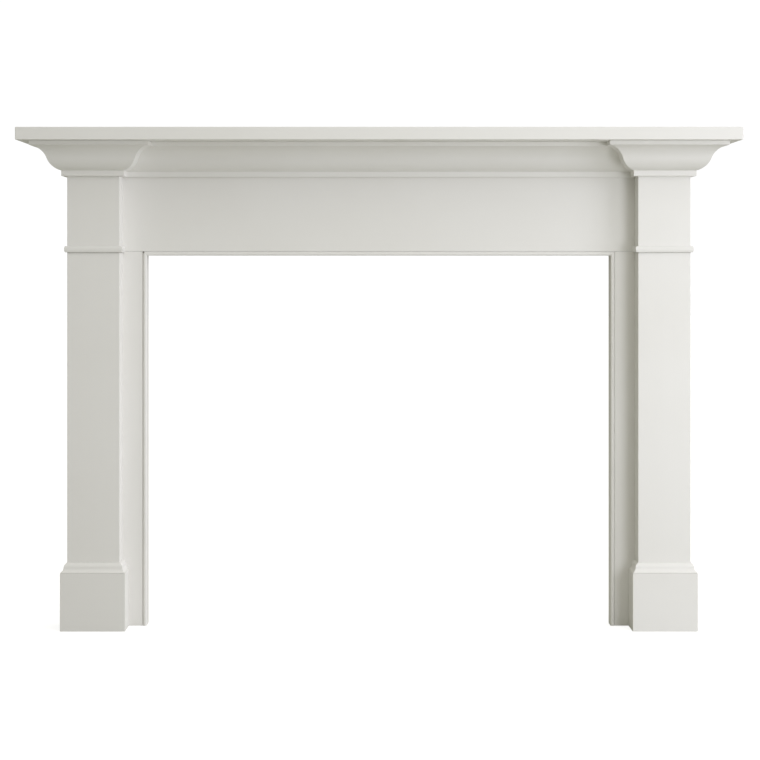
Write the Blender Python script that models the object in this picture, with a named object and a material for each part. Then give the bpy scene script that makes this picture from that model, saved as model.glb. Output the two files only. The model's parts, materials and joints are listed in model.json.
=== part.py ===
"""A painted wooden fireplace mantelpiece of boards and mitred mouldings, standing on its own two legs.

Metres, +Z up. The front faces -Y and the wall is at +Y. X = 0 is the middle, Z = 0 the floor, and
Y = 0 the middle of the shelf's depth. Left and right are as seen from the front.
"""

import math

import bmesh
import bpy
from mathutils import Matrix, Vector

# Fire opening and the slim beaded lining round it
OPENING_WIDTH = 1.2754
OPENING_HEIGHT = 1.018
LINING_FACE = 0.0113
LINING_PROUD = 0.003
QUIRK_WIDTH = 0.0020
QUIRK_DEPTH = 0.0025
BEAD_RISE = 0.0034

# Flat panels: two stiles and the frieze board
PANEL_STANDOFF = 0.041
PANEL_THICKNESS = 0.019
STILE_SHOWN = 0.055
FRIEZE_SHOWN = 0.2037

# Box pilasters
PILASTER_WIDTH = 0.1425
PILASTER_PROJECTION = 0.062
PILASTER_BOARD = 0.019

# Plinth blocks and the ogee cap on each
PLINTH_HEIGHT = 0.157
PLINTH_BOARD = 0.017
CAP_HEIGHT = 0.0272
CAP_SETBACK = 0.0008
CAP_EDGE = 0.0012
CAP_END_SLOPE = 42.0

# Neck band with a slightly rounded face, its underside a little below the frieze board's lower edge
NECK_HEIGHT = 0.017
NECK_PROJECTION = 0.0075
NECK_NOSE_RISE = 0.0022
NECK_DROP = 0.0033

# Crown moulding: foot, ogee and lip, with a sprung back
CROWN_FOOT_HEIGHT = 0.0147
CROWN_FOOT_PROJECTION = 0.0139
CROWN_OGEE_HEIGHT = 0.0649
CROWN_OGEE_PROJECTION = 0.0730
CROWN_FOOT_SLOPE = 14.5
CROWN_LIP_SLOPE = 8.0
CROWN_LIP_HEIGHT = 0.0114
CROWN_LIP_STEP = 0.0018
CROWN_BACK_SEAT = 0.044
CROWN_TOP_SEAT = 0.034

# Shelf board
SHELF_THICKNESS = 0.034
SHELF_OVERHANG = 0.030
SHELF_EASE = 0.0015
SHELF_EASE_STEPS = 2

# Hairline left in every joint, and how finely curves are cut
GAP = 0.0003
ARC_STEPS = 8
SHARP_DEGREES = 25
SAW_SPARE = 0.02

PAINT_COLOUR = (0.80, 0.79, 0.755, 1.0)
PAINT_ROUGHNESS = 0.42

# Sizes that follow from those above
CROWN_PROJECTION = CROWN_FOOT_PROJECTION + CROWN_OGEE_PROJECTION + CROWN_LIP_STEP
CROWN_HEIGHT = CROWN_FOOT_HEIGHT + CROWN_OGEE_HEIGHT + CROWN_LIP_HEIGHT
SHELF_DEPTH = PANEL_STANDOFF + PILASTER_PROJECTION + CROWN_PROJECTION + SHELF_OVERHANG

WALL_Y = SHELF_DEPTH / 2
PANEL_Y = WALL_Y - PANEL_STANDOFF
PILASTER_Y = PANEL_Y - PILASTER_PROJECTION

OPENING_X = OPENING_WIDTH / 2
LINING_X = OPENING_X + LINING_FACE
PILASTER_INNER_X = LINING_X + STILE_SHOWN
PILASTER_OUTER_X = PILASTER_INNER_X + PILASTER_WIDTH
PANEL_END_X = PILASTER_OUTER_X - PILASTER_BOARD - GAP

FRIEZE_BOTTOM = OPENING_HEIGHT + LINING_FACE + GAP
CROWN_BOTTOM = FRIEZE_BOTTOM + FRIEZE_SHOWN
SHELF_UNDERSIDE = CROWN_BOTTOM + CROWN_HEIGHT
NECK_BOTTOM = FRIEZE_BOTTOM - NECK_DROP
UNDER_SHELF = SHELF_UNDERSIDE - GAP


def arc(start, first_heading, last_heading, radius):
    """Points after start along an arc whose heading, in degrees above level, runs from first to last."""
    side = 1.0 if last_heading > first_heading else -1.0
    x0, z0 = start
    first = math.radians(first_heading)
    points = []
    for step in range(1, ARC_STEPS + 1):
        heading = math.radians(first_heading + (last_heading - first_heading) * step / ARC_STEPS)
        x = x0 + side * radius * (math.sin(heading) - math.sin(first))
        z = z0 + side * radius * (math.cos(first) - math.cos(heading))
        points.append((x, z))
    return points


def ogee(start, width, height, first_slope, last_slope):
    """S curve of two equal arcs, out by width and up by height, with the given slopes at its ends."""
    first, last = math.radians(first_slope), math.radians(last_slope)
    cosines = math.cos(first) + math.cos(last)
    sines = math.sin(first) + math.sin(last)
    span = math.hypot(width, height)
    steepest = math.atan2(height, width) + math.acos((width * cosines + height * sines) / (2 * span))
    radius = width / (2 * math.sin(steepest) - sines)
    lower = arc(start, first_slope, math.degrees(steepest), radius)
    upper = arc(lower[-1], math.degrees(steepest), last_slope, radius)
    return [start] + lower + upper


def crown_profile():
    """Crown section as (projection, height): convex below, hollow above, its back cut away behind."""
    foot = (CROWN_FOOT_PROJECTION, CROWN_FOOT_HEIGHT)
    curve = ogee(foot, CROWN_OGEE_PROJECTION, CROWN_OGEE_HEIGHT, CROWN_FOOT_SLOPE, CROWN_LIP_SLOPE)
    lip_bottom = CROWN_FOOT_HEIGHT + CROWN_OGEE_HEIGHT
    top = CROWN_HEIGHT - GAP
    return (
        [(GAP, 0.0), (CROWN_FOOT_PROJECTION, 0.0)]
        + curve
        + [(CROWN_PROJECTION, lip_bottom), (CROWN_PROJECTION, top)]
        + [(CROWN_PROJECTION - CROWN_TOP_SEAT, top), (GAP, CROWN_BACK_SEAT)]
    )


def neck_profile():
    """Neck band section: square edges with a slightly rounded face between them."""
    edge = NECK_PROJECTION - NECK_NOSE_RISE
    half = NECK_HEIGHT / 2
    radius = (half**2 + NECK_NOSE_RISE**2) / (2 * NECK_NOSE_RISE)
    lean = math.degrees(math.asin(half / radius))
    nose = arc((edge, 0.0), 90 - lean, 90 + lean, radius)
    return [(GAP, 0.0), (edge, 0.0)] + nose + [(GAP, NECK_HEIGHT)]


def cap_profile():
    """Base cap section: round above and hollow below, spreading down to the plinth's edge."""
    foot = PLINTH_BOARD - CAP_SETBACK
    rise = CAP_HEIGHT - 2 * CAP_EDGE
    falling = ogee((CAP_EDGE, 0.0), foot - CAP_EDGE, rise, CAP_END_SLOPE, CAP_END_SLOPE)
    curve = [(x, CAP_HEIGHT - CAP_EDGE - drop) for x, drop in falling]
    return [(GAP, 0.0), (foot, 0.0)] + curve[::-1] + [(CAP_EDGE, CAP_HEIGHT), (GAP, CAP_HEIGHT)]


def board_profile(inner, outer, height):
    """Plain board section from the inner to the outer face."""
    return [(inner, 0.0), (outer, 0.0), (outer, height), (inner, height)]


def lining_profile():
    """Lining section as (distance into the opening, distance from the wall): quirk, then a bead."""
    crown = PANEL_STANDOFF + LINING_PROUD
    spring = crown - BEAD_RISE
    quirk = PANEL_STANDOFF - QUIRK_DEPTH
    bead = LINING_FACE - QUIRK_WIDTH
    turns = 2 * ARC_STEPS
    section = [(-LINING_FACE, 0.0), (0.0, 0.0)]
    for step in range(turns + 1):
        angle = math.pi * step / turns
        section.append(((math.cos(angle) - 1) * bead / 2, spring + BEAD_RISE * math.sin(angle)))
    return section + [(-bead, quirk), (-LINING_FACE, quirk)]


def painted(name):
    """Satin paint for one piece."""
    paint = bpy.data.materials.new(f"{name}_paint")
    paint.use_nodes = True
    shader = paint.node_tree.nodes["Principled BSDF"]
    shader.inputs["Base Color"].default_value = PAINT_COLOUR
    shader.inputs["Roughness"].default_value = PAINT_ROUGHNESS
    shader.inputs["Metallic"].default_value = 0.0
    return paint


def place(name, body, group, matrix=None):
    """Turn a bmesh into a named, painted object in its group."""
    bmesh.ops.recalc_face_normals(body, faces=body.faces[:])
    mesh = bpy.data.meshes.new(name)
    body.to_mesh(mesh)
    body.free()
    mesh.materials.append(painted(name))
    piece = bpy.data.objects.new(name, mesh)
    bpy.context.scene.collection.objects.link(piece)
    piece.parent = group
    if matrix:
        piece.matrix_local = matrix
    return piece


def board(name, low, high, group):
    """Square-edged board between two opposite corners."""
    low, high = Vector(low), Vector(high)
    body = bmesh.new()
    bmesh.ops.create_cube(body, size=1.0, matrix=Matrix.Diagonal((*(high - low), 1.0)))
    return place(name, body, group, Matrix.Translation((low + high) / 2))


def cut_end(body, point, outward):
    """Saw the bar off at a plane and close the end."""
    parts = body.verts[:] + body.edges[:] + body.faces[:]
    cut = bmesh.ops.bisect_plane(body, geom=parts, plane_co=point, plane_no=outward, clear_outer=True)
    rim = [part for part in cut["geom_cut"] if isinstance(part, bmesh.types.BMEdge)]
    bmesh.ops.holes_fill(body, edges=rim, sides=0)


def bar(profile, start, end):
    """Straight bar of a section, overlong at both ends, ready to be sawn to its mitres."""
    along = (end - start).normalized()
    outward = Vector((along.y, -along.x, 0.0))
    spare = along * (max(abs(x) for x, _ in profile) + SAW_SPARE)
    body = bmesh.new()
    corners = [body.verts.new(start - spare + outward * x + Vector((0.0, 0.0, z))) for x, z in profile]
    section = body.faces.new(corners)
    grown = bmesh.ops.extrude_face_region(body, geom=[section])
    far_end = [part for part in grown["geom"] if isinstance(part, bmesh.types.BMVert)]
    bmesh.ops.translate(body, verts=far_end, vec=end - start + 2 * spare)
    return body


def mitred_run(names, path, profile, group, matrix, start_gap=0.0, end_gap=0.0):
    """One piece for each straight of a path, with half a gap taken off each mitre. The section's first
    coordinate is measured to the right of the way that the path runs."""
    corners = [Vector((*corner, 0.0)) for corner in path]
    ways = [(end - start).normalized() for start, end in zip(corners, corners[1:])]
    last = len(names) - 1
    pieces = []
    for index, name in enumerate(names):
        start, end, way = corners[index], corners[index + 1], ways[index]
        start_cut = (way + ways[index - 1]).normalized() if index > 0 else way
        end_cut = (way + ways[index + 1]).normalized() if index < last else way
        start_clear = GAP / 2 if index > 0 else start_gap
        end_clear = GAP / 2 if index < last else end_gap
        body = bar(profile, start, end)
        cut_end(body, start + start_cut * start_clear, -start_cut)
        cut_end(body, end - end_cut * end_clear, end_cut)
        pieces.append(place(name, body, group, matrix))
    return pieces


def smooth(pieces):
    """Shade the curves smooth and keep the moulding's arrises sharp."""
    for piece in pieces:
        piece.data.shade_smooth()
        piece.data.set_sharp_from_angle(angle=math.radians(SHARP_DEGREES))


def at_height(height):
    """Placement of a run whose section starts at this height."""
    return Matrix.Translation((0.0, 0.0, height))


def leg_path(side):
    """Plan of a pilaster's outside, from left to right, wall and panel ends included."""
    outer = [(side * PILASTER_OUTER_X, WALL_Y), (side * PILASTER_OUTER_X, PILASTER_Y)]
    inner = [(side * PILASTER_INNER_X, PILASTER_Y), (side * PILASTER_INNER_X, PANEL_Y)]
    return outer + inner if side < 0 else inner[::-1] + outer[::-1]


def make_leg(label, side):
    """One leg: stile, three pilaster boards, neck band, plinth and base cap."""
    group = bpy.data.objects.new(f"leg_{label}", None)
    bpy.context.scene.collection.objects.link(group)
    inside, outside = sorted((side * (LINING_X + GAP), side * PANEL_END_X))
    board(
        f"stile_{label}",
        (inside, PANEL_Y, 0.0),
        (outside, PANEL_Y + PANEL_THICKNESS, FRIEZE_BOTTOM - GAP),
        group,
    )
    order = ("outer", "front", "inner") if side < 0 else ("inner", "front", "outer")
    path = leg_path(side)
    gaps = {"end_gap": GAP} if side < 0 else {"start_gap": GAP}
    pilaster = board_profile(-PILASTER_BOARD, 0.0, UNDER_SHELF)
    plinth = board_profile(GAP, PLINTH_BOARD, PLINTH_HEIGHT)
    runs = (
        ("pilaster", pilaster, 0.0),
        ("plinth", plinth, 0.0),
        ("cap", cap_profile(), PLINTH_HEIGHT + GAP),
        ("neck", neck_profile(), NECK_BOTTOM),
    )
    for kind, profile, height in runs:
        names = [f"{kind}_{label}_{part}" for part in order]
        pieces = mitred_run(names, path, profile, group, at_height(height), **gaps)
        if kind in ("cap", "neck"):
            smooth(pieces)


def make_lining():
    """Beaded lining of the fire opening: two legs and a head, mitred."""
    group = bpy.data.objects.new("lining", None)
    bpy.context.scene.collection.objects.link(group)
    path = [(-OPENING_X, 0.0), (-OPENING_X, OPENING_HEIGHT), (OPENING_X, OPENING_HEIGHT), (OPENING_X, 0.0)]
    upright = Matrix.Translation((0.0, WALL_Y, 0.0)) @ Matrix.Rotation(math.radians(90), 4, "X")
    names = ("trim_left", "trim_head", "trim_right")
    smooth(mitred_run(names, path, lining_profile(), group, upright))


def make_top():
    """Frieze board, crown moulding round both pilasters, and the shelf."""
    group = bpy.data.objects.new("top", None)
    bpy.context.scene.collection.objects.link(group)
    board(
        "frieze_board",
        (-PANEL_END_X, PANEL_Y, FRIEZE_BOTTOM),
        (PANEL_END_X, PANEL_Y + PANEL_THICKNESS, UNDER_SHELF),
        group,
    )
    names = (
        "crown_left_return",
        "crown_left_break",
        "crown_left_inner",
        "crown_centre",
        "crown_right_inner",
        "crown_right_break",
        "crown_right_return",
    )
    path = leg_path(-1) + leg_path(1)
    smooth(mitred_run(names, path, crown_profile(), group, at_height(CROWN_BOTTOM)))
    half = PILASTER_OUTER_X + CROWN_PROJECTION + SHELF_OVERHANG
    shelf = board(
        "mantel_shelf",
        (-half, -SHELF_DEPTH / 2, SHELF_UNDERSIDE),
        (half, WALL_Y, SHELF_UNDERSIDE + SHELF_THICKNESS),
        group,
    )
    ease = shelf.modifiers.new("eased_edges", "BEVEL")
    ease.width = SHELF_EASE
    ease.segments = SHELF_EASE_STEPS
    ease.limit_method = "ANGLE"


def main():
    """Clear the scene and make the mantelpiece."""
    for old in list(bpy.data.objects):
        bpy.data.objects.remove(old, do_unlink=True)
    for label, side in (("left", -1), ("right", 1)):
        make_leg(label, side)
    make_lining()
    make_top()


main()
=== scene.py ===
"""Looks of a painted wooden fireplace mantelpiece: boards, mitred mouldings, paint and studio.

Metres, +Z up. The front faces -Y and the wall is at +Y. X = 0 is the middle, Z = 0 the floor, and
Y = 0 the middle of the shelf's depth. Left and right are as seen from the front.
"""

import json
import logging
import math
from collections.abc import Iterable, Sequence
from dataclasses import dataclass, field
from enum import Enum
from typing import NamedTuple

import bmesh
import bpy
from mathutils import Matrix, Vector

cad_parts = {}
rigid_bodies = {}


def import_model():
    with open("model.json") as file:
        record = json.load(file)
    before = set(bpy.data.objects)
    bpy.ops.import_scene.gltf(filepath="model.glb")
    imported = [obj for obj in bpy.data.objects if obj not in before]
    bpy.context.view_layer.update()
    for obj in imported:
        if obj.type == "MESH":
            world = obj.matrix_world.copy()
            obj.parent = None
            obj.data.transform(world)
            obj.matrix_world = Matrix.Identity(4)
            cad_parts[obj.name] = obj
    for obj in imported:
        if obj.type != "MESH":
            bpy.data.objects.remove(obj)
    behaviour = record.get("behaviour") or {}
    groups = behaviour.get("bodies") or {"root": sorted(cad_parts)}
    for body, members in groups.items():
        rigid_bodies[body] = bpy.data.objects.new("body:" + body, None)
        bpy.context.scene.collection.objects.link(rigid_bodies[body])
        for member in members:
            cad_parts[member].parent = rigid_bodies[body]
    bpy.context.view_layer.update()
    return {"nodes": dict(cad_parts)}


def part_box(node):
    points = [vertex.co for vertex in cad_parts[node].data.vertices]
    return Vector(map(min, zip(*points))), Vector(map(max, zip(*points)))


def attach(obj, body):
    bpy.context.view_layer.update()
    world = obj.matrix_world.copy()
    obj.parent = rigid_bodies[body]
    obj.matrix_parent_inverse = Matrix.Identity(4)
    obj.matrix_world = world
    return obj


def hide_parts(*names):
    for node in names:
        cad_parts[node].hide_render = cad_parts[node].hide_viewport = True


LOG = logging.getLogger("mantelpiece")
BODY = "root"
ARRIS = "arris"
# Vertex attribute that carries painted shade in creases, quirks, joints and an opened mitre.
CREASE = "crease"
QUARTER_TURN = 90.0
MILLIMETRES = 1000
PAINTED, PRIMED = 0, 1

Point = tuple[float, float]
Place = tuple[float, float, float]
Colour = tuple[float, float, float]
Feed = bpy.types.NodeSocket | float | tuple[float, ...]
Ring = tuple[list[Vector], bool]


class Slot(Enum):
    """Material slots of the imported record."""

    BOARDS = "painted_boards"
    MOULDINGS = "painted_mouldings"


class Grain(Enum):
    """Way that a piece lies, and that its paint was brushed."""

    ACROSS = (1.0, 0.0, 0.0)
    INTO = (0.0, 1.0, 0.0)
    UPRIGHT = (0.0, 0.0, 1.0)


class Lay(Enum):
    """Plane that a run's path is drawn in: the floor's, or the wall's."""

    PLAN = "plan"
    WALL = "wall"


# Sections of boards and mouldings


class Corner(NamedTuple):
    """One corner of a section: where it is, the radius it is rounded by, whether the side from it
    to the next corner is out of sight, and so primed, and how much painted shade it takes in a
    crease."""

    out: float
    up: float
    soft: float = 0.0
    hidden: bool = False
    crease: float = 0.0


class Edge(NamedTuple):
    """One point of a finished outline: worn on a rounded arris, hidden where its side is, and
    darkened by painted crease shade.
    """

    out: float
    up: float
    worn: bool
    hidden: bool
    crease: float


@dataclass(frozen=True)
class Draughting:
    """How finely curves are drawn."""

    arc_steps: int = 20
    soft_steps: int = 3
    sharp_degrees: float = 32.0
    most_reach: float = 0.45

    def arc(self, start: Point, first: float, last: float, radius: float) -> list[Point]:
        """Points after start along an arc.

        Args:
            start: Where the arc begins.
            first: Heading at its start, in degrees above level.
            last: Heading at its end.
            radius: Radius of the arc.

        Returns:
            The arc's points, the last one its end.
        """
        side = 1.0 if last > first else -1.0
        begun = math.radians(first)
        points = []
        for step in range(1, self.arc_steps + 1):
            heading = math.radians(first + (last - first) * step / self.arc_steps)
            x = start[0] + side * radius * (math.sin(heading) - math.sin(begun))
            z = start[1] + side * radius * (math.cos(begun) - math.cos(heading))
            points.append((x, z))
        return points

    def ogee(self, start: Point, width: float, height: float, slopes: Point) -> list[Point]:
        """S curve of two equal arcs.

        Args:
            start: Where the curve begins.
            width: How far out it goes.
            height: How far up it goes.
            slopes: Its slopes at the start and the end, in degrees.

        Returns:
            The curve's points, start included.
        """
        first, last = (math.radians(slope) for slope in slopes)
        cosines = math.cos(first) + math.cos(last)
        sines = math.sin(first) + math.sin(last)
        reach = math.acos((width * cosines + height * sines) / (2 * math.hypot(width, height)))
        steepest = math.atan2(height, width) + reach
        radius = width / (2 * math.sin(steepest) - sines)
        lower = self.arc(start, slopes[0], math.degrees(steepest), radius)
        upper = self.arc(lower[-1], math.degrees(steepest), slopes[1], radius)
        return [start, *lower, *upper]

    def rounded(self, before: Corner, corner: Corner, after: Corner) -> list[Edge]:
        """Edge points that take one corner of a section round.

        Args:
            before: The corner before it.
            corner: The corner to round.
            after: The corner after it.

        Returns:
            One point for a sharp corner, or those of a small arc.
        """
        if corner.soft == 0.0:
            return [Edge(corner.out, corner.up, False, corner.hidden, corner.crease)]
        tip = Vector(corner[:2])
        back, ahead = Vector(before[:2]) - tip, Vector(after[:2]) - tip
        limit = self.most_reach * min(back.length, ahead.length)
        back.normalize()
        ahead.normalize()
        half = back.angle(ahead) / 2
        reach = min(corner.soft / math.tan(half), limit)
        radius = reach * math.tan(half)
        centre = tip + (back + ahead).normalized() * (radius / math.sin(half))
        first = tip + back * reach - centre
        turn = first.angle_signed(tip + ahead * reach - centre)
        points = []
        for step in range(self.soft_steps + 1):
            angle = -turn * step / self.soft_steps
            spoke = Vector((
                first.x * math.cos(angle) - first.y * math.sin(angle),
                first.x * math.sin(angle) + first.y * math.cos(angle),
            ))
            inside = 0 < step < self.soft_steps
            hidden = corner.hidden if step == self.soft_steps else before.hidden
            points.append(Edge(*(centre + spoke), inside, hidden, corner.crease))
        return points

    def outline(self, section: Sequence[Corner]) -> list[Edge]:
        """Closed outline of a section, with its soft corners rounded.

        Args:
            section: The section's corners.

        Returns:
            The outline's points.
        """
        count = len(section)
        edges = []
        for index, corner in enumerate(section):
            edges += self.rounded(section[index - 1], corner, section[(index + 1) % count])
        return edges


# Shader groups that several finishes share


class Wire(NamedTuple):
    """A socket on the outside of a shader group."""

    name: str
    kind: str


class Cloud(NamedTuple):
    """Noise, and the two levels that a mask made from it is stretched between."""

    scale: float
    detail: float
    roughness: float
    low: float = 0.0
    high: float = 1.0


FLOAT, VECTOR, COLOUR = "NodeSocketFloat", "NodeSocketVector", "NodeSocketColor"
MIX_FIRST, MIX_SECOND, MIX_RESULT = 6, 7, 2
UPWARDS = (0.0, 0.0, 1.0)
BLACK = (0.0, 0.0, 0.0)


class Bench:
    """A node tree, with short ways to add nodes and join them."""

    def __init__(self, tree: bpy.types.NodeTree) -> None:
        """Keep the tree that nodes are added to."""
        self.tree = tree

    def add(self, kind: str, **settings: object) -> bpy.types.Node:
        """Add one node.

        Args:
            kind: Its type, without the leading "ShaderNode".
            **settings: Its properties.

        Returns:
            The new node.
        """
        node = self.tree.nodes.new(f"ShaderNode{kind}")
        for name, value in settings.items():
            setattr(node, name, value)
        return node

    def feed(self, socket: bpy.types.NodeSocket, value: Feed) -> None:
        """Join an output to a socket, or set the socket's own value.

        Args:
            socket: The input to feed.
            value: An output, a number or a row of numbers.
        """
        if isinstance(value, bpy.types.NodeSocket):
            self.tree.links.new(value, socket)
        elif socket.type == "RGBA" and len(value) == 3:
            socket.default_value = (*value, 1.0)
        else:
            socket.default_value = value

    def maths(self, operation: str, *values: Feed) -> bpy.types.NodeSocket:
        """One step of arithmetic.

        Args:
            operation: The Math node's operation.
            *values: What goes in.

        Returns:
            The result.
        """
        node = self.add("Math", operation=operation)
        for socket, value in zip(node.inputs, values):
            self.feed(socket, value)
        return node.outputs[0]

    def vector(self, operation: str, *values: Feed, output: str = "Vector") -> bpy.types.NodeSocket:
        """One step of vector arithmetic.

        Args:
            operation: The Vector Math node's operation.
            *values: What goes in, a Scale input last.
            output: Name of the output that is wanted.

        Returns:
            The result.
        """
        node = self.add("VectorMath", operation=operation)
        sockets = [node.inputs[0], node.inputs["Scale"]] if operation == "SCALE" else node.inputs
        for socket, value in zip(sockets, values):
            self.feed(socket, value)
        return node.outputs[output]

    def noise(self, position: Feed, cloud: Cloud, times: Feed = 1.0) -> bpy.types.NodeSocket:
        """Noise from 0 to 1.

        Args:
            position: Where it is read.
            cloud: The noise.
            times: What its scale is multiplied by.

        Returns:
            The noise's value.
        """
        node = self.add("TexNoise")
        self.feed(node.inputs["Vector"], position)
        self.feed(node.inputs["Scale"], self.maths("MULTIPLY", times, cloud.scale))
        self.feed(node.inputs["Detail"], cloud.detail)
        self.feed(node.inputs["Roughness"], cloud.roughness)
        return node.outputs[0]

    def spread(self, value: Feed, low: float, high: float) -> bpy.types.NodeSocket:
        """Stretch a value smoothly to the range from 0 to 1.

        Args:
            value: The value.
            low: What becomes 0.
            high: What becomes 1.

        Returns:
            The stretched value.
        """
        node = self.add("MapRange", interpolation_type="SMOOTHSTEP")
        for name, number in (("Value", value), ("From Min", low), ("From Max", high)):
            self.feed(node.inputs[name], number)
        return node.outputs[0]

    def mask(self, position: Feed, cloud: Cloud, times: Feed = 1.0) -> bpy.types.NodeSocket:
        """Noise stretched between its cloud's two levels."""
        return self.spread(self.noise(position, cloud, times), cloud.low, cloud.high)

    def blend(self, factor: Feed, first: Feed, second: Feed) -> bpy.types.NodeSocket:
        """Mix of two colours.

        Args:
            factor: Share of the second.
            first: The first colour.
            second: The second colour.

        Returns:
            The mixed colour.
        """
        node = self.add("Mix", data_type="RGBA")
        self.feed(node.inputs["Factor"], factor)
        self.feed(node.inputs[MIX_FIRST], first)
        self.feed(node.inputs[MIX_SECOND], second)
        return node.outputs[MIX_RESULT]

    def group(self, tree: bpy.types.NodeTree, **values: Feed) -> bpy.types.Node:
        """Place a shader group.

        Args:
            tree: The group.
            **values: What feeds its inputs, each named as the input is, with _ for a blank.

        Returns:
            The group's node.
        """
        node = self.add("Group")
        node.node_tree = tree
        for name, value in values.items():
            self.feed(node.inputs[name.replace("_", " ")], value)
        return node


class GroupPlan:
    """A shader group under construction: its sockets, and a bench for what is inside."""

    def __init__(self, name: str, inputs: Iterable[Wire], outputs: Iterable[Wire]) -> None:
        """Open a group.

        Args:
            name: The group's name.
            inputs: Sockets that go in.
            outputs: Sockets that come out.
        """
        self.tree = bpy.data.node_groups.new(name, "ShaderNodeTree")
        for wires, way in ((inputs, "INPUT"), (outputs, "OUTPUT")):
            for wire in wires:
                self.tree.interface.new_socket(name=wire.name, in_out=way, socket_type=wire.kind)
        self.bench = Bench(self.tree)
        self.inside = self.tree.nodes.new("NodeGroupInput").outputs
        self.outside = self.tree.nodes.new("NodeGroupOutput").inputs


class Coatings:
    """Shader groups of paint work, each built once."""

    RIDGES = Cloud(1.0, 2.0, 0.6)
    STREAKS = Cloud(0.12, 3.0, 0.55, 0.3, 0.75)
    SWELL = Cloud(0.35, 1.0, 0.5)
    PATCHES = Cloud(1.0, 4.0, 0.5, 0.3, 0.7)
    RUBBING = Cloud(34.0, 4.0, 0.62, 0.42, 0.68)
    SETTLING = Cloud(11.0, 5.0, 0.6, 0.25, 0.8)
    # Noise that makes the painted crease shade uneven along its line.
    CREASE_SHADING = Cloud(45.0, 3.0, 0.6)
    STREAK_SHARE = 0.35
    LEAST_RISE = 0.5
    LEAST_SHADE = 0.6
    MORE_SHADE = 0.8

    def __init__(self) -> None:
        """Build all the groups."""
        self.strokes = self.build_strokes()
        self.stipple = self.build_stipple()
        self.drift = self.build_drift()
        self.wear = self.build_wear()
        self.dust = self.build_dust()
        self.crease_shade = self.build_crease_shade()

    def build_strokes(self) -> bpy.types.NodeTree:
        """Brush strokes: fine ridges that run a long way along the grain.

        Returns:
            The group, which puts out Height and a softer Streak.
        """
        plan = GroupPlan(
            "brush_strokes",
            (
                Wire("Position", VECTOR),
                Wire("Way", VECTOR),
                Wire("Ridges", FLOAT),
                Wire("Stretch", FLOAT),
            ),
            (Wire("Height", FLOAT), Wire("Streak", FLOAT)),
        )
        bench, inside = plan.bench, plan.inside
        along = bench.vector("DOT_PRODUCT", inside["Position"], inside["Way"], output="Value")
        kept = bench.maths("DIVIDE", 1.0, inside["Stretch"])
        lost = bench.maths("MULTIPLY", along, bench.maths("SUBTRACT", 1.0, kept))
        moved = bench.vector("SCALE", inside["Way"], lost)
        squeezed = bench.vector("SUBTRACT", inside["Position"], moved)
        ridges = bench.noise(squeezed, self.RIDGES, inside["Ridges"])
        streaks = bench.noise(squeezed, self.STREAKS, inside["Ridges"])
        fading = bench.spread(streaks, self.STREAKS.low, self.STREAKS.high)
        bench.feed(plan.outside["Height"], bench.maths("MULTIPLY", ridges, fading))
        bench.feed(plan.outside["Streak"], streaks)
        return plan.tree

    def build_stipple(self) -> bpy.types.NodeTree:
        """Orange-peel grain that a roller or a spray leaves.

        Returns:
            The group, which puts out Height.
        """
        plan = GroupPlan(
            "orange_peel",
            (Wire("Position", VECTOR), Wire("Grains", FLOAT)),
            (Wire("Height", FLOAT),),
        )
        bench, inside = plan.bench, plan.inside
        cells = bench.add("TexVoronoi", feature="SMOOTH_F1")
        bench.feed(cells.inputs["Vector"], inside["Position"])
        bench.feed(cells.inputs["Scale"], inside["Grains"])
        bench.feed(cells.inputs["Smoothness"], 1.0)
        swell = bench.noise(inside["Position"], self.SWELL, inside["Grains"])
        bench.feed(plan.outside["Height"], bench.maths("ADD", cells.outputs["Distance"], swell))
        return plan.tree

    def build_drift(self) -> bpy.types.NodeTree:
        """Slow drift of tone over a painted face, where coats lie thicker or thinner.

        Returns:
            The group, which puts out Colour and the Share of the second tone.
        """
        plan = GroupPlan(
            "tone_drift",
            (
                Wire("Position", VECTOR),
                Wire("Streak", FLOAT),
                Wire("Patches", FLOAT),
                Wire("Tone", COLOUR),
                Wire("Second Tone", COLOUR),
            ),
            (Wire("Colour", COLOUR), Wire("Share", FLOAT)),
        )
        bench, inside = plan.bench, plan.inside
        patches = bench.mask(inside["Position"], self.PATCHES, inside["Patches"])
        streaks = bench.maths("MULTIPLY", inside["Streak"], self.STREAK_SHARE)
        share = bench.maths("MULTIPLY_ADD", patches, 1 - self.STREAK_SHARE, streaks)
        colour = bench.blend(share, inside["Tone"], inside["Second Tone"])
        bench.feed(plan.outside["Colour"], colour)
        bench.feed(plan.outside["Share"], share)
        return plan.tree

    def open_layer(self, name: str, kind: str) -> GroupPlan:
        """Start a group that lays one colour over another.

        Args:
            name: The group's name.
            kind: Kind of the input that its mask is read from.

        Returns:
            The group under construction.
        """
        return GroupPlan(
            name,
            (
                Wire("Position", VECTOR),
                Wire("Mask", kind),
                Wire("Amount", FLOAT),
                Wire("Colour", COLOUR),
                Wire("Over", COLOUR),
            ),
            (Wire("Colour", COLOUR), Wire("Share", FLOAT)),
        )

    def close_layer(self, plan: GroupPlan, mask: Feed) -> bpy.types.NodeTree:
        """Finish a group that lays one colour over another.

        Args:
            plan: The group under construction.
            mask: Where the colour lies.

        Returns:
            The group, which puts out Colour and the Share that is covered.
        """
        bench, inside = plan.bench, plan.inside
        share = bench.maths("MINIMUM", bench.maths("MULTIPLY", mask, inside["Amount"]), 1.0)
        bench.feed(plan.outside["Colour"], bench.blend(share, inside["Colour"], inside["Over"]))
        bench.feed(plan.outside["Share"], share)
        return plan.tree

    def build_wear(self) -> bpy.types.NodeTree:
        """Paint rubbed thin on the arrises, in short uneven lengths.

        Returns:
            The group, a layer.
        """
        plan = self.open_layer("arris_wear", FLOAT)
        uneven = plan.bench.mask(plan.inside["Position"], self.RUBBING)
        return self.close_layer(plan, plan.bench.maths("MULTIPLY", plan.inside["Mask"], uneven))

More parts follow.
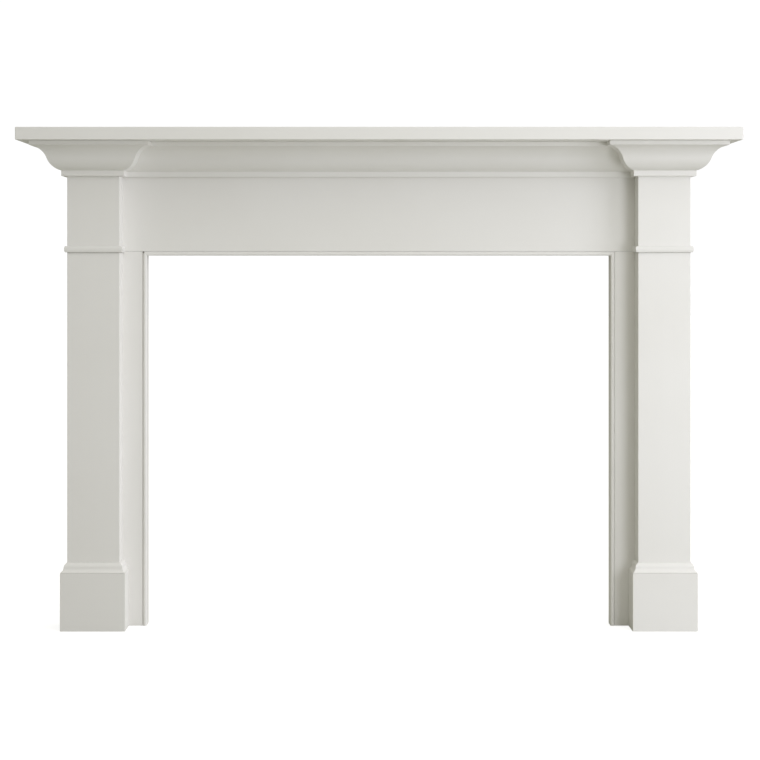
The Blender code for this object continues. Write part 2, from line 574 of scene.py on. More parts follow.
    def build_dust(self) -> bpy.types.NodeTree:
        """Fine dust settled on faces that look up. The mask is the way that a face looks.

        Returns:
            The group, a layer.
        """
        plan = self.open_layer("settled_dust", VECTOR)
        rise = plan.bench.vector("DOT_PRODUCT", plan.inside["Mask"], UPWARDS, output="Value")
        level = plan.bench.spread(rise, self.LEAST_RISE, 1.0)
        cloudy = plan.bench.mask(plan.inside["Position"], self.SETTLING)
        return self.close_layer(plan, plan.bench.maths("MULTIPLY", level, cloudy))

    def build_crease_shade(self) -> bpy.types.NodeTree:
        """Painted shade laid in creases, quirks and joints where shade falls, in an uneven line.

        Returns:
            The group, a layer.
        """
        plan = self.open_layer("painted_crease_shade", FLOAT)
        cloudy = plan.bench.noise(plan.inside["Position"], self.CREASE_SHADING)
        uneven = plan.bench.maths("MULTIPLY_ADD", cloudy, self.MORE_SHADE, self.LEAST_SHADE)
        return self.close_layer(plan, plan.bench.maths("MULTIPLY", plan.inside["Mask"], uneven))


# Finishes


class Ground(NamedTuple):
    """A finish under construction, with its drifting tone and its strokes."""

    material: bpy.types.Material
    bench: Bench
    shader: bpy.types.Node
    position: bpy.types.NodeSocket
    strokes: bpy.types.Node
    drift: bpy.types.Node


@dataclass(frozen=True)
class Coat:
    """What paint and primer share: two tones that drift, and strokes along the grain."""

    name: str
    tone: Colour = (0.812, 0.800, 0.776)
    second_tone: Colour = (0.790, 0.776, 0.746)
    roughness: float = 0.40
    patches: float = 3.2
    ridges: float = 620.0
    stretch: float = 55.0
    grain_height: float = 0.00003

    def ground(self, coatings: Coatings, grain: Grain) -> Ground:
        """Start the material.

        Args:
            coatings: The shader groups.
            grain: The way the coat was put on.

        Returns:
            The material, with its tone and strokes not joined to the shader yet.
        """
        material = bpy.data.materials.new(f"{self.name}_{grain.name.lower()}")
        material.use_nodes = True
        bench = Bench(material.node_tree)
        shader = material.node_tree.nodes["Principled BSDF"]
        position = bench.add("TexCoord").outputs["Object"]
        strokes = bench.group(
            coatings.strokes,
            Position=position,
            Way=grain.value,
            Ridges=self.ridges,
            Stretch=self.stretch,
        )
        drift = bench.group(
            coatings.drift,
            Position=position,
            Streak=strokes.outputs["Streak"],
            Patches=self.patches,
            Tone=self.tone,
            Second_Tone=self.second_tone,
        )
        return Ground(material, bench, shader, position, strokes, drift)

    def join(self, ground: Ground, colour: Feed, rough: Feed, height: Feed) -> bpy.types.Material:
        """Join the finished coat to its shader.

        Args:
            ground: The material under construction.
            colour: Its colour.
            rough: Its roughness.
            height: Its relief, 1 being as high as the grain.

        Returns:
            The material.
        """
        bench, shader = ground.bench, ground.shader
        bench.feed(shader.inputs["Base Color"], colour)
        bench.feed(shader.inputs["Roughness"], rough)
        bump = bench.add("Bump")
        bench.feed(bump.inputs["Height"], height)
        bench.feed(bump.inputs["Distance"], self.grain_height)
        bench.feed(shader.inputs["Normal"], bump.outputs["Normal"])
        return ground.material


@dataclass(frozen=True)
class SatinPaint(Coat):
    """Satin off-white paint, brushed along the grain over a rolled ground."""

    rubbed: Colour = (0.735, 0.715, 0.665)
    dusty: Colour = (0.66, 0.645, 0.61)
    # Dark colour of the painted shade laid in creases, quirks, joints and an opened mitre.
    crease_shade_colour: Colour = (0.16, 0.145, 0.12)
    ridge_height: float = 0.00005
    grains: float = 430.0
    wear: float = 0.35
    dust: float = 0.25
    # Strength of that painted crease shade.
    crease_shade: float = 0.7
    drift_dulls: float = 0.08
    wear_dulls: float = 0.3
    dust_dulls: float = 0.5
    crease_shade_dulls: float = 0.0

    def material(self, coatings: Coatings, grain: Grain) -> bpy.types.Material:
        """Paint brushed along one way.

        Args:
            coatings: The shader groups.
            grain: The way it was brushed.

        Returns:
            The material.
        """
        ground = self.ground(coatings, grain)
        bench, position, drift = ground.bench, ground.position, ground.drift
        arris = bench.add("Attribute", attribute_name=ARRIS).outputs["Fac"]
        crease = bench.add("Attribute", attribute_name=CREASE).outputs["Fac"]
        facing = bench.add("NewGeometry").outputs["Normal"]
        colour = drift.outputs["Colour"]
        patchy = drift.outputs["Share"]
        rough = bench.maths("MULTIPLY_ADD", patchy, self.drift_dulls, self.roughness)
        # Layers over the drifting tone: wear on arrises, dust on faces that look up, and painted
        # shade in creases and joints.
        for group, mask, amount, over, dulls in (
            (coatings.wear, arris, self.wear, self.rubbed, self.wear_dulls),
            (coatings.dust, facing, self.dust, self.dusty, self.dust_dulls),
            (coatings.crease_shade, crease, self.crease_shade, self.crease_shade_colour, self.crease_shade_dulls),
        ):
            feeds = {"Mask": mask, "Amount": amount, "Colour": colour, "Over": over}
            layer = bench.group(group, Position=position, **feeds)
            colour = layer.outputs["Colour"]
            rough = bench.maths("MULTIPLY_ADD", layer.outputs["Share"], dulls, rough)
        peel = bench.group(coatings.stipple, Position=position, Grains=self.grains)
        steep = self.ridge_height / self.grain_height
        ridges = bench.maths("MULTIPLY", ground.strokes.outputs["Height"], steep)
        height = bench.maths("ADD", ridges, peel.outputs["Height"])
        return self.join(ground, colour, rough, height)


@dataclass(frozen=True)
class Primer(Coat):
    """Flat grey-white primer, put on thinly by roller, on faces that nobody sees."""

    tone: Colour = (0.62, 0.605, 0.565)
    second_tone: Colour = (0.555, 0.53, 0.475)
    roughness: float = 0.78
    patches: float = 9.0
    ridges: float = 420.0
    stretch: float = 30.0
    grain_height: float = 0.00009

    def material(self, coatings: Coatings, grain: Grain) -> bpy.types.Material:
        """Primer rolled along one way.

        Args:
            coatings: The shader groups.
            grain: The way it was rolled.

        Returns:
            The material.
        """
        ground = self.ground(coatings, grain)
        height = ground.strokes.outputs["Height"]
        return self.join(ground, ground.drift.outputs["Colour"], self.roughness, height)


# Making pieces


@dataclass
class Workshop:
    """Turns meshes into painted pieces that stand for their nodes in the frame."""

    coatings: Coatings
    boards: SatinPaint = SatinPaint("board_paint")
    mouldings: SatinPaint = SatinPaint(
        "moulding_paint", ridges=820.0, stretch=80.0, wear=0.5, dust=0.35
    )
    primer: Primer = Primer("primer")
    draughting: Draughting = Draughting()
    seam_crease_shade: float = 0.5
    seam_reach: float = 0.6
    flat_share: float = 0.01
    back_facing: float = 0.9
    materials: dict[str, bpy.types.Material] = field(default_factory=dict)
    made: list[str] = field(default_factory=list)

    def finish(self, kind: SatinPaint | Primer, grain: Grain) -> bpy.types.Material:
        """A finish brushed along one way, made the first time it is asked for.

        Args:
            kind: The finish.
            grain: The way it is brushed.

        Returns:
            The material.
        """
        key = f"{kind.name}_{grain.name}"
        if key not in self.materials:
            self.materials[key] = kind.material(self.coatings, grain)
        return self.materials[key]

    def deliver(
        self,
        node: str,
        body: bmesh.types.BMesh,
        grain: Grain,
        slot: Slot,
    ) -> bpy.types.Object:
        """Turn a mesh into a piece that replaces its node.

        Args:
            node: The node in the frame.
            body: The mesh, its faces marked as painted or primed.
            grain: The way it is brushed.
            slot: The record's slot for its finish.

        Returns:
            The piece.
        """
        bmesh.ops.recalc_face_normals(body, faces=body.faces[:])
        mesh = bpy.data.meshes.new(f"{node}_painted")
        body.to_mesh(mesh)
        body.free()
        paint = self.boards if slot is Slot.BOARDS else self.mouldings
        mesh.materials.append(self.finish(paint, grain))
        mesh.materials.append(self.finish(self.primer, grain))
        mesh.shade_smooth()
        mesh.set_sharp_from_angle(angle=math.radians(self.draughting.sharp_degrees))
        piece = bpy.data.objects.new(f"{node}_painted", mesh)
        bpy.context.scene.collection.objects.link(piece)
        weigh = piece.modifiers.new("weighted_normals", "WEIGHTED_NORMAL")
        weigh.keep_sharp = True
        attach(piece, BODY)
        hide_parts(node)
        self.made.append(node)
        self.report(node, mesh)
        return piece

    def report(self, node: str, mesh: bpy.types.Mesh) -> None:
        """Log a piece, with how far its box is from its node's.

        Args:
            node: The node in the frame.
            mesh: The piece's mesh.
        """
        low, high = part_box(node)
        apart = 0.0
        for axis in range(3):
            places = [vertex.co[axis] for vertex in mesh.vertices]
            apart = max(apart, abs(min(places) - low[axis]), abs(max(places) - high[axis]))
        within = apart * MILLIMETRES
        LOG.info("%s: %d faces, box within %.2f mm of its node", node, len(mesh.polygons), within)

    def board(
        self,
        node: str,
        low: Place,
        high: Place,
        ease: float,
        grain: Grain,
        seam: float | None = None,
    ) -> bpy.types.Object:
        """Straight board with eased arrises and a primed back.

        Args:
            node: The node it stands for.
            low: Its lowest corner.
            high: Its highest corner.
            ease: Radius of its arrises.
            grain: The way it lies.
            seam: Height of its joint with another board, where that is in sight; a line of painted
                shade is laid along it.

        Returns:
            The piece.
        """
        body = bmesh.new()
        bmesh.ops.create_cube(body, size=1.0)
        for vertex in body.verts:
            vertex.co = Vector([b if side > 0 else a for a, b, side in zip(low, high, vertex.co)])
        round_over = {"segments": self.draughting.soft_steps, "profile": 0.5, "affect": "EDGES"}
        bmesh.ops.bevel(body, geom=body.edges[:], offset=ease, **round_over)
        body.verts.layers.float.new(ARRIS)
        body.verts.layers.float.new(CREASE)
        arris, crease = (body.verts.layers.float[name] for name in (ARRIS, CREASE))
        for vertex in body.verts:
            gaps = [min(place - a, b - place) for a, b, place in zip(low, high, vertex.co)]
            vertex[arris] = 1.0 if min(gaps) > ease * self.flat_share else 0.0
            # Painted shade along the joint's line.
            in_seam = seam is not None and abs(vertex.co.z - seam) < self.seam_reach * ease
            vertex[crease] = self.seam_crease_shade if in_seam else 0.0
        body.normal_update()
        for face in body.faces:
            face.material_index = PRIMED if face.normal.y > self.back_facing else PAINTED
        return self.deliver(node, body, grain, Slot.BOARDS)


@dataclass
class Run:
    """Boards or mouldings of one section, mitred round a path.

    The section's out is measured to the right of the way that the path runs. Its up starts at
    level, which is a height in plan, and a distance out from the wall on it.
    """

    nodes: tuple[str, ...]
    path: Sequence[Point]
    section: Sequence[Corner]
    level: float
    slot: Slot
    lay: Lay = Lay.PLAN
    grain: Grain | None = None
    mitre_soft: float = 0.0006
    start_gap: float = 0.0
    end_gap: float = 0.0
    open_corner: int | None = None
    open_reach: float = 0.0045
    open_crease_shade: float = 4.0

    def lift(self, spot: Vector, up: float) -> Vector:
        """Point in the frame.

        Args:
            spot: Where it is on the path's plane.
            up: Its height off that plane.

        Returns:
            The point.
        """
        height = self.level + up
        if self.lay is Lay.PLAN:
            return Vector((spot.x, spot.y, height))
        return Vector((spot.x, -height, spot.y))

    def square(self, spot: Vector, outward: Vector, edges: Sequence[Edge]) -> list[Vector]:
        """Section cut square across the run."""
        return [self.lift(spot + outward * edge.out, edge.up) for edge in edges]

    def mitre(
        self,
        spot: Vector,
        ways: tuple[Vector, Vector],
        turn: float | None,
        edges: Sequence[Edge],
    ) -> list[Vector]:
        """Section of a corner, cut where a softened arris has turned by some angle.

        Args:
            spot: The path's corner.
            ways: Outward ways before and after it.
            turn: The angle, in degrees, or None at a corner that isn't softened.
            edges: The outline.

        Returns:
            The section's points.
        """
        both = ways[0] + ways[1]
        if turn is None:
            return [self.lift(spot + both * edge.out, edge.up) for edge in edges]
        soft, angle = self.mitre_soft, math.radians(turn)
        spoke = ways[0] * math.cos(angle) + ways[1] * math.sin(angle)
        centre = spot + spoke * soft
        return [self.lift(centre + both * (edge.out - soft), edge.up) for edge in edges]

    def rings(self, index: int, edges: Sequence[Edge], steps: int) -> list[Ring]:
        """Sections of one piece, from its start to its end.

        Args:
            index: Which piece of the run.
            edges: The outline.
            steps: How many steps take a softened corner round.

        Returns:
            Each section, and whether it is on a softened arris.
        """
        spots = [Vector(point) for point in self.path]
        ways = [(end - start).normalized() for start, end in zip(spots, spots[1:])]
        outwards = [Vector((way.y, -way.x)) for way in ways]
        eighth = QUARTER_TURN / 2
        turns = [eighth * step / steps for step in range(steps + 1)]
        found = []
        if index == 0:
            start = spots[0] + ways[0] * self.start_gap
            found.append((self.square(start, outwards[0], edges), False))
        else:
            found += self.corner(index, ways, outwards, edges, [eighth + turn for turn in turns])
        if index == len(ways) - 1:
            end = spots[-1] - ways[-1] * self.end_gap
            found.append((self.square(end, outwards[-1], edges), False))
        else:
            found += self.corner(index + 1, ways, outwards, edges, turns)
        return found

    def corner(
        self,
        index: int,
        ways: Sequence[Vector],
        outwards: Sequence[Vector],
        edges: Sequence[Edge],
        turns: Sequence[float],
    ) -> list[Ring]:
        """Sections of one piece at one corner of the path.

        Args:
            index: Which corner.
            ways: The way each piece runs.
            outwards: The way each piece faces.
            edges: The outline.
            turns: Angles of the sections on an outside corner.

        Returns:
            Each section, and whether it is on a softened arris.
        """
        spot = Vector(self.path[index])
        pair = (outwards[index - 1], outwards[index])
        outside = ways[index - 1].cross(ways[index]) > 0
        if not outside:
            return [(self.mitre(spot, pair, None, edges), False)]
        return [(self.mitre(spot, pair, turn, edges), 0 < turn < QUARTER_TURN) for turn in turns]

    def open_ring(self, index: int, rings: list[Ring]) -> int | None:
        """Find the section at the mitre that has opened, and add one beside it to bound the painted
        shade laid in the opened joint.

        Args:
            index: Which piece of the run.
            rings: The piece's sections, which gain one.

        Returns:
            Place of the mitre's section in rings, or None on a piece that doesn't meet it.
        """
        if self.open_corner is None or index not in (self.open_corner - 1, self.open_corner):
            return None
        starts = index == self.open_corner
        near, far = (rings[0], rings[1]) if starts else (rings[-1], rings[-2])
        beside = [a + (b - a).normalized() * self.open_reach for a, b in zip(near[0], far[0])]
        rings.insert(1 if starts else len(rings) - 1, (beside, False))
        return 0 if starts else len(rings) - 1

    def open_share(self, edge: Edge, edges: Sequence[Edge]) -> float:
        """How much painted shade an edge point takes in an opened mitre, most at its outer corner.
        """
        inwards = edge.out - min(other.out for other in edges)
        return self.open_crease_shade * max(0.0, 1.0 - inwards / self.open_reach)

    def build(self, shop: Workshop) -> None:
        """Make every piece of the run.

        Args:
            shop: Where the pieces are painted.
        """
        edges = shop.draughting.outline(self.section)
        for index, node in enumerate(self.nodes):
            rings = self.rings(index, edges, shop.draughting.soft_steps)
            body = bmesh.new()
            body.verts.layers.float.new(ARRIS)
            body.verts.layers.float.new(CREASE)
            arris, crease = (body.verts.layers.float[name] for name in (ARRIS, CREASE))
            rows = []
            opened = self.open_ring(index, rings)
            for place, (ring, softened) in enumerate(rings):
                row = [body.verts.new(point) for point in ring]
                for vertex, edge in zip(row, edges):
                    vertex[arris] = 1.0 if edge.worn or softened else 0.0
                    # Painted shade in the opened mitre, only on the mitre's own section.
                    hole = self.open_share(edge, edges) if place == opened else 0.0
                    vertex[crease] = max(edge.crease, hole)
                rows.append(row)
            for row, after in zip(rows, rows[1:]):
                for side, edge in enumerate(edges):
                    ahead = (side + 1) % len(edges)
                    face = body.faces.new((row[side], row[ahead], after[ahead], after[side]))
                    face.material_index = PRIMED if edge.hidden else PAINTED
            for row in (rows[0], rows[-1]):
                body.faces.new(row).material_index = PRIMED
            shop.deliver(node, body, self.grain or self.along(index), self.slot)

    def along(self, index: int) -> Grain:
        """Grain that follows one piece of the run.

        Args:
            index: Which piece.

        Returns:
            The grain.
        """
        start, end = self.path[index], self.path[index + 1]
        if abs(end[0] - start[0]) > abs(end[1] - start[1]):
            return Grain.ACROSS
        return Grain.INTO if self.lay is Lay.PLAN else Grain.UPRIGHT


# Sub-assemblies


@dataclass(frozen=True)
class MainLines:
    """Sizes that the sub-assemblies share, and the lines that follow from them."""

    opening_width: float = 1.2754
    opening_height: float = 1.018
    lining_face: float = 0.0113
    panel_standoff: float = 0.041
    panel_thickness: float = 0.019
    stile_shown: float = 0.055
    frieze_shown: float = 0.2037
    pilaster_width: float = 0.1425
    pilaster_projection: float = 0.062
    pilaster_board: float = 0.019
    crown_projection: float = 0.0887
    crown_height: float = 0.0910
    shelf_thickness: float = 0.034
    shelf_overhang: float = 0.030
    joint: float = 0.0003

    @property
    def shelf_depth(self) -> float:
        """Depth of the shelf, from the wall."""
        steps = (self.panel_standoff, self.pilaster_projection, self.crown_projection)
        return sum(steps) + self.shelf_overhang

    @property
    def wall_y(self) -> float:
        """Where the wall is."""
        return self.shelf_depth / 2

    @property
    def panel_y(self) -> float:
        """Front of the stiles and the frieze board."""
        return self.wall_y - self.panel_standoff

    @property
    def pilaster_y(self) -> float:
        """Front of the pilasters."""
        return self.panel_y - self.pilaster_projection

    @property
    def lining_x(self) -> float:
        """Outside of the lining."""
        return self.opening_width / 2 + self.lining_face

    @property
    def inner_x(self) -> float:
        """Inner side of a pilaster."""
        return self.lining_x + self.stile_shown

    @property
    def outer_x(self) -> float:
        """Outer side of a pilaster."""
        return self.inner_x + self.pilaster_width

    @property
    def panel_end_x(self) -> float:
        """End of the panels, inside a pilaster's outer board."""
        return self.outer_x - self.pilaster_board - self.joint

    @property
    def frieze_bottom(self) -> float:
        """Lower edge of the frieze board."""
        return self.opening_height + self.lining_face + self.joint

    @property
    def crown_bottom(self) -> float:
        """Underside of the crown moulding's foot."""
        return self.frieze_bottom + self.frieze_shown

    @property
    def shelf_bottom(self) -> float:
        """Underside of the shelf."""
        return self.crown_bottom + self.crown_height

    def leg_path(self, side: int) -> list[Point]:
        """Plan of a pilaster's outside, from left to right.

        Args:
            side: -1 for the left leg, 1 for the right one.

        Returns:
            The corners, from the wall to the panel or back.
        """
        outer = [(side * self.outer_x, self.wall_y), (side * self.outer_x, self.pilaster_y)]
        inner = [(side * self.inner_x, self.pilaster_y), (side * self.inner_x, self.panel_y)]
        return outer + inner if side < 0 else inner[::-1] + outer[::-1]


@dataclass(frozen=True)
class Leg:
    """One leg: stile, box pilaster, neck band, plinth and base cap."""

    label: str
    side: int
    lines: MainLines
    arris: float = 0.0012
    stile_ease: float = 0.0008
    plinth_height: float = 0.157
    plinth_board: float = 0.017
    cap_height: float = 0.0272
    cap_setback: float = 0.0008
    cap_edge: float = 0.0012
    cap_slope: float = 30.0
    neck_height: float = 0.017
    neck_projection: float = 0.0075
    neck_nose: float = 0.0022
    neck_drop: float = 0.0033
    crease_reach: float = 0.0022
    soft: float = 0.0005

    def pilaster_section(self) -> list[Corner]:
        """Section of a pilaster's boards, plain but for a line of painted shade just under the neck
        band.

        Returns:
            Its corners.
        """
        lines = self.lines
        top = lines.shelf_bottom - lines.joint
        inside = -lines.pilaster_board
        neck = lines.frieze_bottom - self.neck_drop
        return [
            Corner(inside, 0.0, hidden=True),
            Corner(0.0, 0.0, self.soft),
            Corner(0.0, neck - self.crease_reach),
            # Full painted shade on the line where the neck band's shadow falls.
            Corner(0.0, neck, crease=1.0),
            Corner(0.0, neck + self.crease_reach),
            Corner(0.0, top, hidden=True),
            Corner(inside, top, hidden=True),
        ]

    def plinth_section(self) -> list[Corner]:
        """Section of a plinth board, laid against the pilaster, its front arrises eased.

        Returns:
            Its corners.
        """
        joint, face, top = self.lines.joint, self.plinth_board, self.plinth_height
        return [
            Corner(joint, 0.0, hidden=True),
            Corner(face, 0.0, self.soft),
            Corner(face, top, self.arris),
            Corner(joint, top, hidden=True),
        ]

    def cap_section(self, draughting: Draughting) -> list[Corner]:
        """Section of the base cap: round above and hollow below, spreading to the plinth's edge.

        Args:
            draughting: How finely it is drawn.

        Returns:
            Its corners.
        """
        foot = self.plinth_board - self.cap_setback
        rise = self.cap_height - 2 * self.cap_edge
        slopes = (self.cap_slope, self.cap_slope)
        falling = draughting.ogee((self.cap_edge, 0.0), foot - self.cap_edge, rise, slopes)
        top = self.cap_height - self.cap_edge
        curve = [Corner(x, top - drop) for x, drop in reversed(falling)]
        joint = self.lines.joint
        return [
            Corner(joint, 0.0, hidden=True),
            Corner(foot, 0.0, self.soft / 2),
            *curve,
            Corner(self.cap_edge, self.cap_height, self.soft / 2),
            Corner(joint, self.cap_height, hidden=True),
        ]

    def neck_section(self, draughting: Draughting) -> list[Corner]:
        """Section of the neck band: square edges, with a slightly rounded face between them.

        Args:
            draughting: How finely it is drawn.

        Returns:
            Its corners.
        """
        edge = self.neck_projection - self.neck_nose
        half = self.neck_height / 2
        radius = (half**2 + self.neck_nose**2) / (2 * self.neck_nose)
        lean = math.degrees(math.asin(half / radius))
        nose = draughting.arc((edge, 0.0), QUARTER_TURN - lean, QUARTER_TURN + lean, radius)
        joint = self.lines.joint
        return [
            Corner(joint, 0.0),
            Corner(edge, 0.0, self.soft),
            *[Corner(x, z) for x, z in nose[:-1]],
            Corner(edge, self.neck_height, self.soft),
            Corner(joint, self.neck_height, hidden=True),
        ]

    def build(self, shop: Workshop) -> None:
        """Make and dress the leg's pieces.

        Args:
            shop: Where they are painted.
        """
        lines, side, joint = self.lines, self.side, self.lines.joint
        neck = lines.frieze_bottom - self.neck_drop
        inside, outside = sorted((side * (lines.lining_x + joint), side * lines.panel_end_x))
        shop.board(
            f"stile_{self.label}",
            (inside, lines.panel_y, 0.0),
            (outside, lines.panel_y + lines.panel_thickness, lines.frieze_bottom - joint),
            self.stile_ease,
            Grain.UPRIGHT,
            seam=lines.frieze_bottom - joint,
        )
        order = ("outer", "front", "inner") if side < 0 else ("inner", "front", "outer")
        gaps = {"end_gap": joint} if side < 0 else {"start_gap": joint}
        draughting = shop.draughting
        runs = (
            ("pilaster", self.pilaster_section(), 0.0, self.arris),
            ("plinth", self.plinth_section(), 0.0, self.arris),
            ("cap", self.cap_section(draughting), self.plinth_height + joint, self.soft),
            ("neck", self.neck_section(draughting), neck, self.soft),
        )
        for kind, section, level, mitre_soft in runs:
            Run(
                nodes=tuple(f"{kind}_{self.label}_{part}" for part in order),
                path=lines.leg_path(side),
                section=section,
                level=level,
                slot=Slot.BOARDS if kind in ("pilaster", "plinth") else Slot.MOULDINGS,
                grain=Grain.UPRIGHT if kind == "pilaster" else None,
                mitre_soft=mitre_soft,
                **gaps,
            ).build(shop)


@dataclass(frozen=True)
class Lining:
    """Slim beaded lining of the fire opening: two legs and a head."""

    lines: MainLines
    proud: float = 0.003
    quirk_width: float = 0.0013
    quirk_depth: float = 0.0014
    quirk_crease_shade: float = 0.1
    bead_rise: float = 0.0034

    def section(self, draughting: Draughting) -> list[Corner]:
        """Section of the lining: quirk, bead, and the reveal back to the wall.

        Args:
            draughting: How finely it is drawn.

        Returns:
            Its corners.
        """
        face = self.lines.lining_face
        spring = self.lines.panel_standoff + self.proud - self.bead_rise
        quirk = self.lines.panel_standoff - self.quirk_depth
        bead = face - self.quirk_width
        turns = 2 * draughting.arc_steps
        corners = [Corner(-face, 0.0, hidden=True), Corner(0.0, 0.0)]
        for step in range(turns + 1):
            angle = math.pi * step / turns
            across = (math.cos(angle) - 1) * bead / 2
            corners.append(Corner(across, spring + self.bead_rise * math.sin(angle)))
        # The quirk's floor takes a little painted shade.
        corners.append(Corner(-bead, quirk, crease=self.quirk_crease_shade))
        corners.append(Corner(-face, quirk, hidden=True, crease=self.quirk_crease_shade))
        return corners

    def build(self, shop: Workshop) -> None:
        """Make and dress the lining's pieces.

        Args:
            shop: Where they are painted.
        """
        half, height = self.lines.opening_width / 2, self.lines.opening_height
        Run(
            nodes=("trim_left", "trim_head", "trim_right"),
            path=[(-half, 0.0), (-half, height), (half, height), (half, 0.0)],
            section=self.section(shop.draughting),
            level=-self.lines.wall_y,
            slot=Slot.MOULDINGS,
            lay=Lay.WALL,
            # The head's left mitre has opened; painted shade is laid in it.
            open_corner=1,
        ).build(shop)


@dataclass(frozen=True)
class Top:
    """Frieze board, crown moulding round both pilasters, and the shelf."""

    lines: MainLines
    foot_height: float = 0.0147
    foot_projection: float = 0.0139
    ogee_height: float = 0.0649
    ogee_projection: float = 0.0730
    foot_slope: float = 14.5
    lip_slope: float = 8.0
    back_seat: float = 0.044
    top_seat: float = 0.034
    shelf_ease: float = 0.0015
    frieze_ease: float = 0.0008
    soft: float = 0.0006

    def crown_section(self, draughting: Draughting) -> list[Corner]:
        """Section of the crown: foot, convex then hollow curve, lip, and a back cut away behind.

        Args:
            draughting: How finely it is drawn.

        Returns:
            Its corners.
        """
        lines = self.lines
        start = (self.foot_projection, self.foot_height)
        slopes = (self.foot_slope, self.lip_slope)
        curve = draughting.ogee(start, self.ogee_projection, self.ogee_height, slopes)
        lip_bottom = self.foot_height + self.ogee_height
        top = lines.crown_height - lines.joint
        return [
            Corner(lines.joint, 0.0),
            Corner(self.foot_projection, 0.0, self.soft),
            *[Corner(x, z) for x, z in curve],
            Corner(lines.crown_projection, lip_bottom, self.soft),
            Corner(lines.crown_projection, top, self.soft / 2, hidden=True),
            Corner(lines.crown_projection - self.top_seat, top, hidden=True),
            Corner(lines.joint, self.back_seat, hidden=True),
        ]

    def build(self, shop: Workshop) -> None:
        """Make and dress the pieces of the top.

        Args:
            shop: Where they are painted.
        """
        lines = self.lines
        back = lines.panel_y + lines.panel_thickness
        shop.board(
            "frieze_board",
            (-lines.panel_end_x, lines.panel_y, lines.frieze_bottom),
            (lines.panel_end_x, back, lines.shelf_bottom - lines.joint),
            self.frieze_ease,
            Grain.ACROSS,
            seam=lines.frieze_bottom,
        )
        Run(
            nodes=(
                "crown_left_return",
                "crown_left_break",
                "crown_left_inner",
                "crown_centre",
                "crown_right_inner",
                "crown_right_break",
                "crown_right_return",
            ),
            path=lines.leg_path(-1) + lines.leg_path(1),
            section=self.crown_section(shop.draughting),
            level=lines.crown_bottom,
            slot=Slot.MOULDINGS,
            mitre_soft=self.soft,
        ).build(shop)
        half = lines.outer_x + lines.crown_projection + lines.shelf_overhang
        shop.board(
            "mantel_shelf",
            (-half, -lines.shelf_depth / 2, lines.shelf_bottom),
            (half, lines.wall_y, lines.shelf_bottom + lines.shelf_thickness),
            self.shelf_ease,
            Grain.ACROSS,
        )


# Studio


@dataclass(frozen=True)
class SoftBox:
    """Square studio light."""

    name: str
    place: Place
    side: float
    power: float
    colour: Colour

    def build(self, aim: Place) -> bpy.types.Object:
        """Make the light.

        Args:
            aim: The point it is turned to.

        Returns:
            The light's object.
        """
        data = bpy.data.lights.new(self.name, "AREA")
        data.shape = "SQUARE"
        data.size = self.side
        data.energy = self.power
        data.color = self.colour
        light = bpy.data.objects.new(self.name, data)
        bpy.context.scene.collection.objects.link(light)
        light.location = self.place
        way = Vector(aim) - Vector(self.place)
        light.rotation_euler = way.to_track_quat("-Z", "Y").to_euler()
        return light


class Glow(NamedTuple):
    """Soft light from one side of the room, strongest along way."""

    way: Place
    colour: Colour


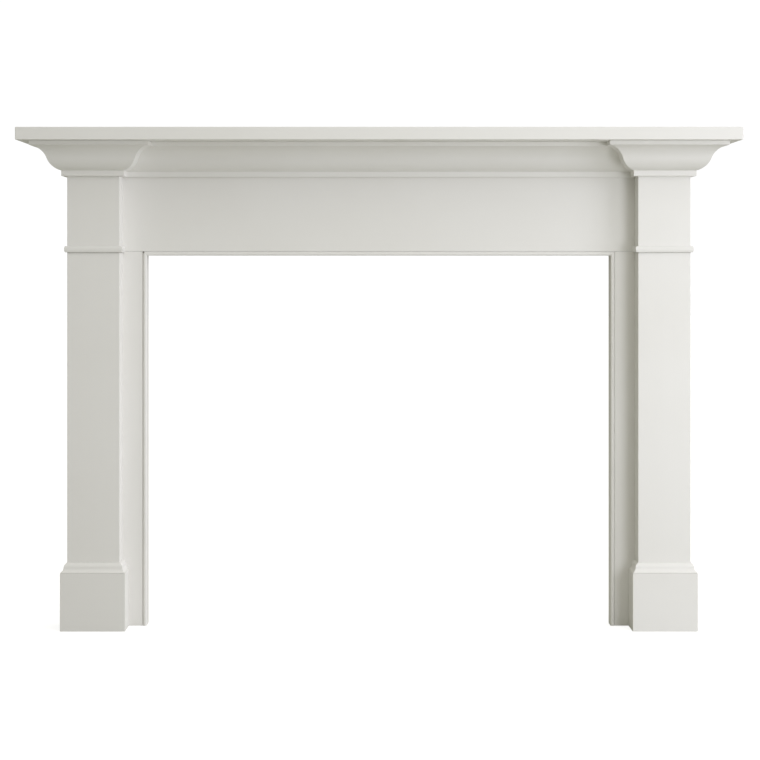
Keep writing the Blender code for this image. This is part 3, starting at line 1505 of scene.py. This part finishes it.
@dataclass(frozen=True)
class Studio:
    """Pale floor and surroundings, soft light from the right, and a level camera."""

    floor_size: float = 60.0
    floor_roughness: float = 0.9
    floor_colour: Colour = (0.470, 0.469, 0.420)
    floor_seen: Colour = (0.74, 0.74, 0.765)
    backdrop: Colour = (1.04, 1.04, 1.04)
    glows: tuple[Glow, ...] = (
        Glow((1.0, 0.0, 0.0), (1.03, 1.03, 1.05)),
        Glow((-1.0, 0.0, 0.0), (0.17, 0.164, 0.108)),
        Glow((0.0, 0.0, 1.0), (0.72, 0.72, 0.675)),
    )
    aim: Place = (0.2, 0.0, 0.75)
    lights: tuple[SoftBox, ...] = (
        SoftBox("window_light", (5.5, -3.0, 1.6), 2.5, 114.0, (0.876, 0.890, 1.0)),
        SoftBox("key_light", (1.9, -2.6, 0.9), 1.0, 23.8, (0.931, 0.943, 1.0)),
        SoftBox("top_light", (0.3, -2.2, 3.0), 1.6, 11.3, (1.0, 1.0, 0.93)),
    )
    camera_place: Place = (-0.0360, -4.8209, 0.9907)
    lens: float = 84.234
    sensor: float = 36.0
    shift: Point = (0.0189, -0.1507)

    def build_floor(self) -> None:
        """Lay a plain pale floor."""
        body = bmesh.new()
        bmesh.ops.create_grid(body, x_segments=1, y_segments=1, size=self.floor_size / 2)
        mesh = bpy.data.meshes.new("studio_floor")
        body.to_mesh(mesh)
        body.free()
        pale = bpy.data.materials.new("pale_floor")
        pale.use_nodes = True
        shader = pale.node_tree.nodes["Principled BSDF"]
        shader.inputs["Base Color"].default_value = (*self.floor_colour, 1.0)
        shader.inputs["Roughness"].default_value = self.floor_roughness
        bench = Bench(pale.node_tree)
        seen = bench.add("LightPath").outputs["Is Camera Ray"]
        bench.feed(shader.inputs["Emission Color"], bench.blend(seen, BLACK, self.floor_seen))
        shader.inputs["Emission Strength"].default_value = 1.0
        mesh.materials.append(pale)
        floor = bpy.data.objects.new("studio_floor", mesh)
        bpy.context.scene.collection.objects.link(floor)

    def build_world(self) -> None:
        """Pale surroundings that glow from both sides and from above, and look white."""
        world = bpy.data.worlds.new("studio")
        bpy.context.scene.world = world
        world.use_nodes = True
        bench = Bench(world.node_tree)
        backdrop = world.node_tree.nodes["Background"]
        looking = bench.add("TexCoord").outputs["Generated"]
        light: Feed = BLACK
        for glow in self.glows:
            facing = bench.vector("DOT_PRODUCT", looking, glow.way, output="Value")
            share = bench.maths("MAXIMUM", facing, 0.0)
            light = bench.vector("ADD", light, bench.vector("SCALE", glow.colour, share))
        seen = bench.add("LightPath").outputs["Is Camera Ray"]
        bench.feed(backdrop.inputs["Color"], bench.blend(seen, light, self.backdrop))
        backdrop.inputs["Strength"].default_value = 1.0

    def build_camera(self) -> None:
        """Level camera in front, a little left of the middle."""
        data = bpy.data.cameras.new("camera")
        data.lens, data.sensor_width = self.lens, self.sensor
        data.shift_x, data.shift_y = self.shift
        camera = bpy.data.objects.new("camera", data)
        bpy.context.scene.collection.objects.link(camera)
        camera.location = self.camera_place
        camera.rotation_euler = (math.radians(QUARTER_TURN), 0.0, 0.0)
        bpy.context.scene.camera = camera

    def build(self) -> None:
        """Set up the whole studio."""
        bpy.context.scene.view_settings.view_transform = "Standard"
        self.build_floor()
        self.build_world()
        for light in self.lights:
            light.build(self.aim)
        self.build_camera()
        LOG.info("studio: floor, surroundings, camera and %d light(s)", len(self.lights))


def main() -> None:
    """Load the frame, then build and dress the mantelpiece and its studio."""
    logging.basicConfig(level=logging.INFO, format="%(message)s")
    for old in list(bpy.data.objects):
        bpy.data.objects.remove(old, do_unlink=True)
    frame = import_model()
    shop = Workshop(Coatings())
    lines = MainLines()
    for assembly in (Leg("left", -1, lines), Leg("right", 1, lines), Lining(lines), Top(lines)):
        assembly.build(shop)
    LOG.info("%d of %d nodes replaced", len(shop.made), len(frame["nodes"]))
    Studio().build()


if __name__ == "__main__":
    main()
